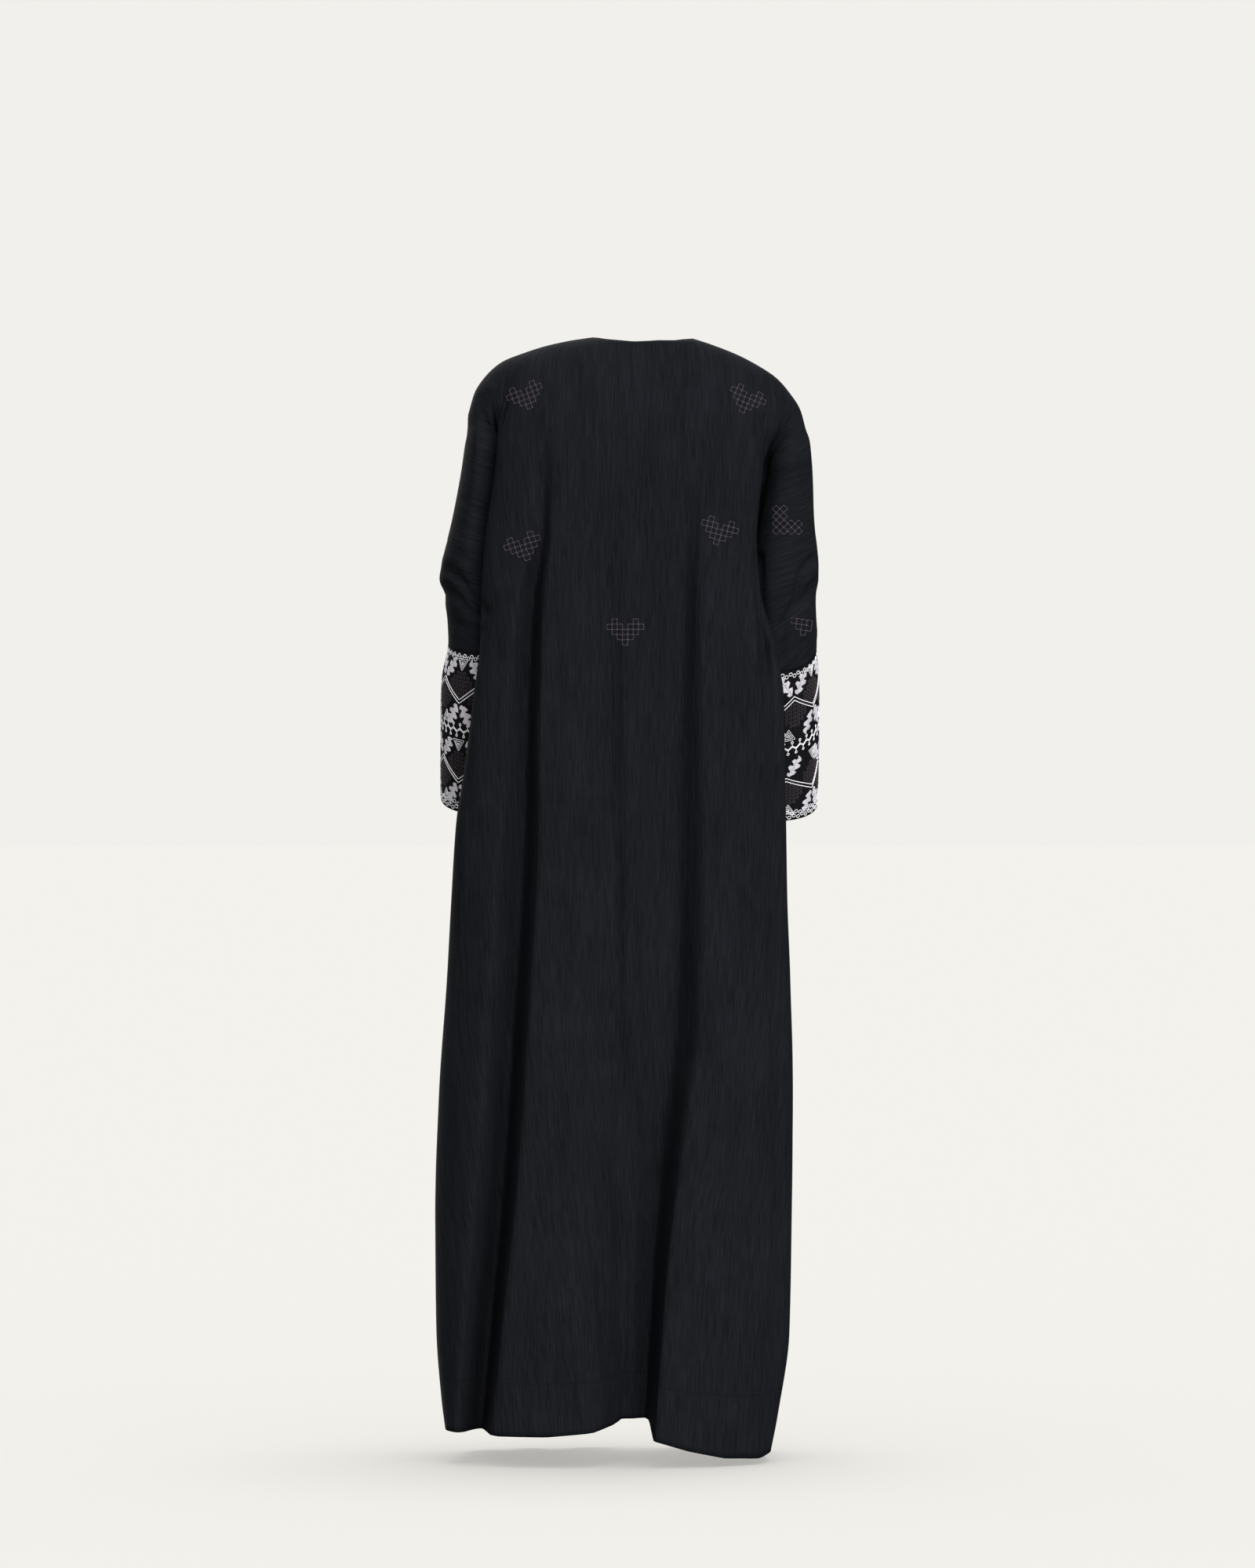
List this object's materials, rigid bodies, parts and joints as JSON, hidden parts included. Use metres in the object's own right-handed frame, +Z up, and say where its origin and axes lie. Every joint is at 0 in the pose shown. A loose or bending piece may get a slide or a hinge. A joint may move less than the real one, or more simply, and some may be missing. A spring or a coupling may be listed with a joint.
{
  "type": "abaya",
  "caption": "Long loose black abaya with sleeves cut in one with the body and embroidered cuffs, kept in its worn, open-fronted form",
  "frame": {"origin": "the middle of the neck at shoulder height, where the wearer's shoulders carry the garment", "axes": "+Z up the wearer, -Y the way the front faces, +X the wearer's left"},
  "size_m": [0.521, 0.303, 1.5057],
  "materials": {
    "cloth": "matte near-black crinkled crepe with a slight blue cast, dull plum heart motifs",
    "cuff_cloth": "near-black cloth with pale lilac-white and plum embroidery"
  },
  "bodies": {
    "root": {"back": "cloth", "front_left": "cloth", "front_right": "cloth", "cuff_left": "cuff_cloth", "cuff_right": "cuff_cloth"}
  },
  "joints": []
}
